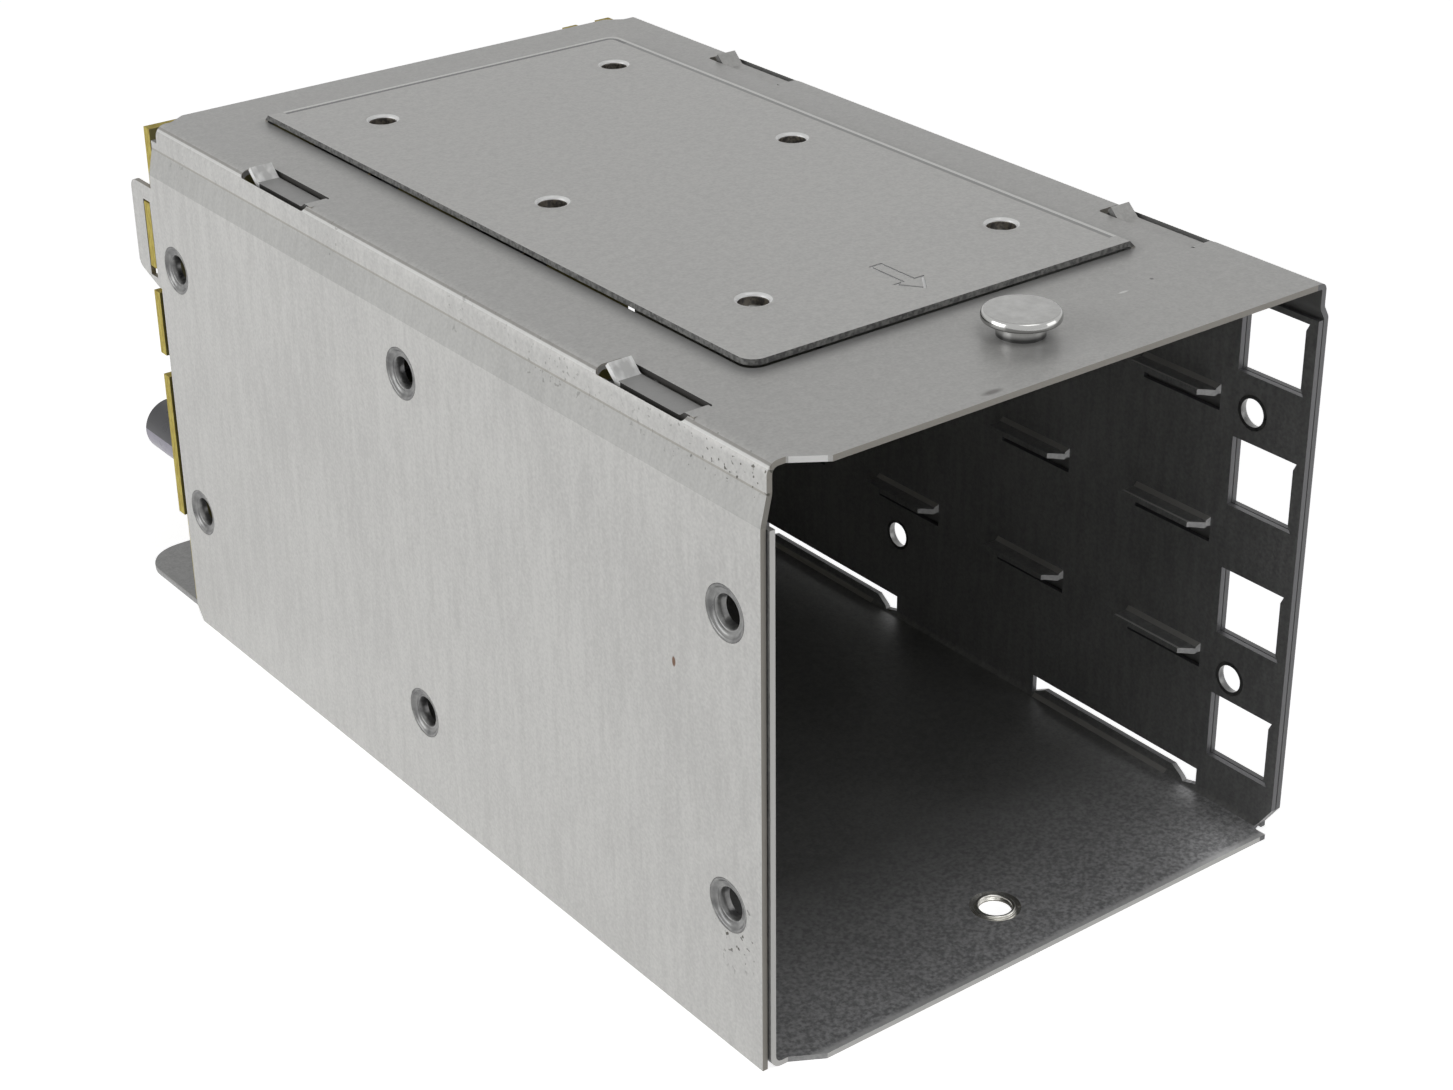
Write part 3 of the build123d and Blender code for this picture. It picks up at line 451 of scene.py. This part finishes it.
def wear_marks_and_stud_shade(finish, tone):
    """Adds the dark specks and small smudges of a used cage and the shade before the stud."""
    specks = finish.between(finish.noise(cube(1500), detail=1), 0.66, 0.70)
    scattered = finish.between(finish.noise(cube(70), detail=1), 0.45, 0.62, 0, 0.4)
    toward_front = finish.between(finish.y, wall_front + 9 * MM, wall_front + 20 * MM, 0.9, 0)
    along_bend = finish.all_of(
        finish.near(finish.z, cage_height - 2.2 * MM, 2.6 * MM),
        finish.below(finish.x, bend_zone - half_width),
        finish.any_of(scattered, toward_front),
    )
    corner = Vector((-half_width, wall_front, 0))
    scuffed = finish.spot(corner + Vector((0, 4.7, 16.5)) * MM, Vector((3, 5, 7)) * MM, soft=0.6)
    tone = finish.lay(tone, (0.07, 0.065, 0.05), specks, finish.any_of(along_bend, scuffed))

    # Centre from the lower front corner of the left wall and reach, in millimetres, softness and colour
    marks = [
        ((0, 14.93, 44.89), (1, 0.35, 0.7), 0.3, (0.16, 0.07, 0.03)),
        ((29.1, -1.3, 73.5), (1.7, 0.6, 1), 0.6, (0.22, 0.21, 0.2)),
        ((63.7, 10.3, 73.5), (0.3, 0.3, 1), 0.5, grey(0.15)),
        ((58.5, 9.5, 73.5), (0.9, 0.25, 1), 0.5, (0.85, 0.85, 0.83)),
    ]
    for centre, reach, soft, color in marks:
        tone = finish.lay(tone, color, finish.spot(corner + Vector(centre) * MM, Vector(reach) * MM, soft))
    # Painted shade: a darker patch before the stud, for its shadow and its dark reflection in the sheet.
    before_stud = finish.spot(stud_place + Vector((-1, -4.6, 0)) * MM, Vector((5.5, 4, 2)) * MM, soft=1.0)
    return finish.lay(tone, grey(0.3), before_stud, 0.5)


def zinc_sheet(name, light, dark, edge, shaded_far_edge, metallic, roughness, wall_inside):
    """Zinc coated sheet: vertical streaks on the walls, fine speckle on level faces, warm cut edges, and
    painted shade on the cut edges of the far side.
    """
    finish = Finish(name, light, roughness, metallic)
    grain = finish.noise((900, 900, 120), detail=3)
    clouds = finish.noise(cube(45), detail=3)
    fine = finish.noise(cube(2600), detail=1)
    amount = 0
    for pattern, share in ((grain, 0.32), (clouds, 0.25), (fine, 0.43)):
        amount = finish.calc("MULTIPLY_ADD", pattern, share, amount)
    tone = finish.mix(finish.between(amount, 0.38, 0.62), dark, light)
    # Painted shade: the cut edges on the far (right) side, away from the left lamp, take the darker far
    # edge colour.
    far_side = finish.above(finish.x, wall_inside - 1.5 * MM)
    tone = finish.lay(tone, finish.mix(far_side, edge, shaded_far_edge), cut_edges(finish, wall_inside))
    both = finish.calc("ADD", clouds, fine)
    finish.gloss(finish.between(both, 0.6, 1.4, roughness - 0.06, roughness + 0.08))
    finish.bump(finish.calc("MULTIPLY_ADD", fine, 0.6, grain), distance=0.02 * MM)
    return finish, tone


def outer_sheet():
    finish, tone = zinc_sheet(
        "zinc_sheet_outer",
        light=(0.66, 0.655, 0.635),
        dark=(0.54, 0.535, 0.52),
        edge=(0.34, 0.32, 0.285),
        shaded_far_edge=(0.17, 0.17, 0.175),
        metallic=0.18,
        roughness=0.42,
        wall_inside=half_width - edge_thickness,
    )
    tone = platform_tones(finish, tone, finish.noise(cube(2200), detail=1))
    tone = wear_marks_and_stud_shade(finish, bend_tones(finish, spring_tones(finish, tone)))
    # Painted shade: the cover's faces that look into the cage are painted darker, for the shade inside the
    # cage.
    finish.paint(finish.lay(tone, (0.27, 0.27, 0.265), shaded_inward_faces(finish)))
    return finish.material


def inner_sheet():
    # Painted shade: the inner sheet gets much darker tones than the outer sheet, for the shade inside the
    # cage.
    finish, tone = zinc_sheet(
        "zinc_sheet_inner",
        light=(0.37, 0.37, 0.365),
        dark=grey(0.26),
        edge=(0.5, 0.495, 0.48),
        shaded_far_edge=(0.15, 0.15, 0.155),
        metallic=0.55,
        roughness=0.45,
        wall_inside=half_width - 1.7 * MM,
    )
    tone = inside_tones(finish, tone)
    # Painted highlight: the slanted bends at the ledge roots and at the floor bend by the low openings are
    # painted lighter.
    finish.paint(finish.lay(tone, (0.5, 0.49, 0.47), bend_highlights(finish)))
    return finish.material


def turned_metal(name, light, dark, roughness, metallic=1.0):
    """Plated or burnished metal with faint wear."""
    finish = Finish(name, light, roughness, metallic)
    wear = finish.noise(cube(700), detail=3)
    finish.paint(finish.mix(finish.between(wear, 0.35, 0.65), dark, light))
    finish.gloss(finish.between(wear, 0.3, 0.7, roughness * 0.9, roughness * 1.15))
    finish.bump(wear)
    return finish.material


def plated_stud():
    """Plated stud: dull flat crown, bright rim, and painted reflection bands, dark and light, on the neck
    and the side of the head.
    """
    finish = Finish("plated_stud", (0.37, 0.37, 0.36), 0.24, 1.0)
    wear = finish.noise(cube(700), detail=3)
    crown = finish.mix(finish.between(wear, 0.35, 0.65), (0.32, 0.32, 0.31), (0.38, 0.38, 0.37))
    height = finish.calc("SUBTRACT", finish.z, cage_height)
    # Painted reflection: dark and light bands by height on the neck and the side of the head.
    side = finish.mix(finish.between(height, 0.3 * MM, 0.8 * MM), grey(0.12), (0.7, 0.7, 0.69))
    side = finish.lay(side, grey(0.12), finish.above(height, 1.5 * MM))
    side = finish.lay(side, (0.42, 0.42, 0.41), finish.between(height, 1.8 * MM, 2.0 * MM))
    on_crown = finish.above(finish.facing_z, 0.9)
    finish.paint(finish.mix(on_crown, side, crown))
    finish.gloss(finish.between(on_crown, 0, 1, 0.12, 0.26))
    finish.bump(wear)
    return finish.material


def moulded(name, color, roughness):
    """Moulded plastic with a fine matt grain."""
    finish = Finish(name, color, roughness)
    speck = finish.noise(cube(1800))
    darker = tuple(0.7 * value for value in color)
    finish.paint(finish.mix(finish.between(speck, 0.35, 0.65), darker, color))
    finish.gloss(finish.between(speck, 0.3, 0.7, roughness - 0.06, roughness + 0.08))
    finish.bump(speck)
    return finish.material


def board_laminate():
    """Bare glass fibre laminate: olive yellow on its routed edges, darker on its faces."""
    finish = Finish("board_laminate", (0.5, 0.42, 0.1), 0.6)
    weave = finish.noise((900, 4000, 900))
    clouds = finish.noise(cube(160))
    edge = finish.mix(finish.between(weave, 0.35, 0.65), (0.42, 0.31, 0.04), (0.64, 0.54, 0.12))
    face = finish.mix(finish.between(clouds, 0.35, 0.65), (0.235, 0.20, 0.05), (0.265, 0.23, 0.062))
    on_face = finish.above(finish.absolute(finish.facing_y), 0.9)
    finish.paint(finish.mix(on_face, edge, face))
    finish.gloss(finish.between(on_face, 0, 1, 0.65, 0.38))
    finish.bump(weave)
    return finish.material


def shrink_sleeve():
    """Grey violet sleeve with one dark stripe along its upper side."""
    finish = Finish("capacitor_sleeve", (0.33, 0.31, 0.38), 0.3)
    marks = finish.noise(cube(500))
    sleeve = finish.mix(finish.between(marks, 0.3, 0.7), (0.26, 0.25, 0.31), (0.36, 0.34, 0.41))
    finish.paint(finish.lay(sleeve, (0.03, 0.03, 0.035), finish.above(finish.z, 25.4 * MM)))
    finish.gloss(finish.between(marks, 0.3, 0.7, 0.25, 0.4))
    finish.bump(marks)
    return finish.material


finishes = {
    "zinc_sheet_outer": outer_sheet(),
    "zinc_sheet_inner": inner_sheet(),
    "eyelet_steel": turned_metal("eyelet_steel", (0.25, 0.25, 0.245), grey(0.13), 0.3, metallic=0.65),
    "plated_stud": plated_stud(),
    "plated_nut": turned_metal("plated_nut", (0.7, 0.69, 0.65), (0.55, 0.54, 0.5), 0.2, metallic=0.85),
    "board_laminate": board_laminate(),
    "screw_steel": turned_metal("screw_steel", (0.6, 0.6, 0.58), (0.45, 0.45, 0.43), 0.25),
    "black_plastic": moulded("black_plastic", grey(0.03), 0.45),
    "gold_contact": turned_metal("gold_contact", (0.83, 0.62, 0.24), (0.7, 0.5, 0.18), 0.25),
    "connector_shell": turned_metal("connector_shell", (0.68, 0.68, 0.66), (0.64, 0.64, 0.62), 0.36),
    "can_aluminium": turned_metal("can_aluminium", (0.74, 0.74, 0.73), (0.64, 0.64, 0.63), 0.3),
    "capacitor_sleeve": shrink_sleeve(),
}

slot_of = {part["node"]: part["material_slot"] for part in frame["record"]["subparts"]}
for name, node in nodes.items():
    for index in range(len(node.data.materials)):
        node.data.materials[index] = finishes[slot_of[name]]


# Smooth pieces made by code

def rounded(corners, steps=6):
    """Profile through the corners (radius, height, rounding) with each rounding drawn as a curve."""
    points = []
    for index, (radius, height, rounding) in enumerate(corners):
        here = Vector((radius, height))
        if rounding == 0:
            points.append(here)
            continue
        before = (Vector(corners[index - 1][:2]) - here).normalized() * rounding
        after = (Vector(corners[(index + 1) % len(corners)][:2]) - here).normalized() * rounding
        for step in range(steps + 1):
            t = step / steps
            points.append(here + before * (1 - t) ** 2 + after * t ** 2)
    return points


def mesh_piece(name, vertices, faces, slot, smooth_below):
    """One new visible piece, in the frame of the part, riding with the cage."""
    mesh = bpy.data.meshes.new(name)
    mesh.from_pydata(vertices, [], faces)
    mesh.polygons.foreach_set("use_smooth", [True] * len(mesh.polygons))
    mesh.set_sharp_from_angle(angle=math.radians(smooth_below))
    mesh.materials.append(finishes[slot])
    piece = bpy.data.objects.new(name, mesh)
    bpy.context.scene.collection.objects.link(piece)
    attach(piece, "root")
    return piece


def turned(name, profile, places, axis, slot, segments=48, smooth_below=35):
    """The closed profile (radius, height) in millimetres turned about an axis at each of the places."""
    turn = Vector((0, 0, 1)).rotation_difference(Vector(axis))
    vertices, faces = [], []
    count = len(profile)
    for place in places:
        first = len(vertices)
        for segment in range(segments):
            angle = 2 * math.pi * segment / segments
            for radius, height in profile:
                point = Vector((radius * math.cos(angle), radius * math.sin(angle), height)) * MM
                vertices.append(Vector(place) + turn @ point)
        for segment in range(segments):
            ring = first + segment * count
            next_ring = first + (segment + 1) % segments * count
            for index in range(count):
                onward = (index + 1) % count
                faces.append((ring + index, next_ring + index, next_ring + onward, ring + onward))
    return mesh_piece(name, vertices, faces, slot, smooth_below)


# Eyelets: the cover's rim is drawn in, then rolled over into a polished bore
eyelet_profile = rounded([
    (3.2, 0.0, 0),
    (2.95, 0.03, 0.1),
    (2.6, 0.42, 0.3),
    (2.3, 0.4, 0.14),
    (2.02, 0.32, 0.2),
    (1.78, 0.9, 0.3),
    (1.75, 1.55, 0),
    (2.2, 1.55, 0),
    (2.2, 0.85, 0),
    (3.2, 0.85, 0),
])
eyelet_spots = [(wall_front + depth * MM, height * MM) for depth, height in eyelet_depths_and_heights]
left_places = [(-half_width, y, z) for y, z in eyelet_spots]
left_eyelets = turned("left_eyelet_forms", eyelet_profile, left_places, (1, 0, 0), "eyelet_steel")
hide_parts("left_wall_eyelets")
right_places = [(half_width, y, z) for y, z in eyelet_spots]
right_eyelets = turned("right_eyelet_forms", eyelet_profile, right_places, (-1, 0, 0), "eyelet_steel")
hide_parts("right_wall_eyelets")

# Stud: flat head with a rounded, polished rim on a waisted neck
stud_profile = rounded([
    (0.0, -1.3, 0),
    (2.7, -1.3, 0.2),
    (2.7, -0.7, 0),
    (2.2, -0.7, 0),
    (2.2, 0.0, 0),
    (2.75, 0.0, 0),
    (2.75, 1.77, 0.25),
    (4.28, 1.77, 0.1),
    (4.45, 1.92, 0.12),
    (4.45, 2.4, 0.25),
    (4.25, 2.82, 0.2),
    (4.0, 2.85, 0.1),
    (0.0, 2.85, 0),
])
stud = turned("mushroom_stud_form", stud_profile, [stud_place], (0, 0, 1), "plated_stud", segments=64)
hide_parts("top_mushroom_stud")

# Clinch nut: dished flange, bright rolled lip and a threaded bore
nut_thread = []
for groove in range(3):
    start = 0.62 - 0.22 * groove
    nut_thread += [(2.0, start, 0), (2.12, start - 0.11, 0)]
nut_profile = rounded([
    (2.0, 0.0, 0),
    (3.1, 0.0, 0),
    (3.1, 0.7, 0),
    (2.75, 0.55, 0.2),
    (2.47, 0.45, 0.15),
    (2.4, 0.8, 0.15),
    (2.15, 0.86, 0.12),
    (2.0, 0.72, 0.08),
    *nut_thread,
])
nut = turned("clinch_nut_form", nut_profile, [nut_place], (0, 0, 1), "plated_nut", segments=64)
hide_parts("floor_clinch_nut")

# Rims of the extruded screw holes: the sheet rolls over into each bore
rim_profile = rounded([
    (2.62, 0.012, 0),
    (1.73, 0.012, 0.75),
    (1.73, -1.4, 0),
    (1.76, -1.4, 0),
    (1.76, -0.66, 0),
    (2.42, -0.01, 0),
], steps=10)
screw_places = [
    screw_centre + Vector((column * screw_spacing_x / 2, row * screw_spacing_y, 0))
    for column in (-1, 1)
    for row in (-1, 0, 1)
]
turned("screw_hole_rims", rim_profile, screw_places, (0, 0, 1), "zinc_sheet_outer", smooth_below=60)


# Floor, world and lamps

def seen_directly(tree):
    """1 for camera, glossy and transmission rays, 0 for the rays that light a surface."""
    path = tree.nodes.new("ShaderNodeLightPath")
    seen = path.outputs["Is Camera Ray"]
    for ray in ("Is Glossy Ray", "Is Transmission Ray"):
        either = tree.nodes.new("ShaderNodeMath")
        either.operation = "MAXIMUM"
        tree.links.new(seen, either.inputs[0])
        tree.links.new(path.outputs[ray], either.inputs[1])
        seen = either.outputs[0]
    return seen


def level_by_ray(tree, unseen, seen, strength):
    """Drives a strength socket: one level for what is seen directly, the other for the light it gives."""
    level = tree.nodes.new("ShaderNodeMapRange")
    tree.links.new(seen_directly(tree), level.inputs["Value"])
    level.inputs["To Min"].default_value = unseen
    level.inputs["To Max"].default_value = seen
    tree.links.new(level.outputs["Result"], strength)


def stage_material():
    """Pale floor that shows white to the camera and in reflections and still takes the shadow."""
    material = bpy.data.materials.new("stage_floor")
    material.use_nodes = True
    tree = material.node_tree
    tree.nodes.clear()
    glow = tree.nodes.new("ShaderNodeEmission")
    level_by_ray(tree, 0.0, 0.8, glow.inputs["Strength"])
    matt = tree.nodes.new("ShaderNodeBsdfDiffuse")
    matt.inputs["Color"].default_value = (*grey(0.85), 1)
    both = tree.nodes.new("ShaderNodeAddShader")
    tree.links.new(glow.outputs[0], both.inputs[0])
    tree.links.new(matt.outputs[0], both.inputs[1])
    output = tree.nodes.new("ShaderNodeOutputMaterial")
    tree.links.new(both.outputs[0], output.inputs["Surface"])
    return material


floor_reach = 6.0
floor_corners = [(x * floor_reach, y * floor_reach, 0) for x, y in ((-1, -1), (1, -1), (1, 1), (-1, 1))]
floor_mesh = bpy.data.meshes.new("stage_floor")
floor_mesh.from_pydata(floor_corners, [], [(0, 1, 2, 3)])
floor_mesh.materials.append(stage_material())
floor = bpy.data.objects.new("stage_floor", floor_mesh)
bpy.context.scene.collection.objects.link(floor)

world = bpy.data.worlds.new("studio")
world.use_nodes = True
bpy.context.scene.world = world
background = world.node_tree.nodes["Background"]
background.inputs["Color"].default_value = (1, 1, 1, 1)
level_by_ray(world.node_tree, 0.09, 1.0, background.inputs["Strength"])

cage_middle = Vector((0, 0, 0.037))


def soft_lamp(name, place, size, power):
    """Square lamp that looks at the middle of the cage."""
    data = bpy.data.lights.new(name, "AREA")
    data.shape = "SQUARE"
    data.size = size
    data.energy = power
    lamp = bpy.data.objects.new(name, data)
    lamp.location = place
    lamp.rotation_mode = "QUATERNION"
    lamp.rotation_quaternion = (cage_middle - Vector(place)).to_track_quat("-Z", "Y")
    bpy.context.scene.collection.objects.link(lamp)


soft_lamp("lamp_left", place=(-0.86, 0.25, 0.20), size=0.7, power=4.9)
soft_lamp("lamp_above", place=(0.0, -0.42, 0.84), size=0.5, power=1.3)
soft_lamp("lamp_right", place=(0.75, -0.75, 0.25), size=0.6, power=1.6)

# Camera at the photograph's viewing angle
camera_data = bpy.data.cameras.new("camera")
camera_data.lens = 67.85
camera_data.sensor_width = 36
camera_data.clip_start = 0.01
camera_data.clip_end = 50
camera = bpy.data.objects.new("camera", camera_data)
bpy.context.scene.collection.objects.link(camera)
camera.location = (-0.186108, -0.262501, 0.189213)
looking = Vector((0.53535, 0.70675, -0.46243))
roll = Quaternion((0, 0, 1), math.radians(-0.638))
camera.rotation_mode = "QUATERNION"
camera.rotation_quaternion = looking.to_track_quat("-Z", "Y") @ roll
bpy.context.scene.camera = camera

bpy.context.scene.view_settings.view_transform = "Standard"

bpy.context.view_layer.update()
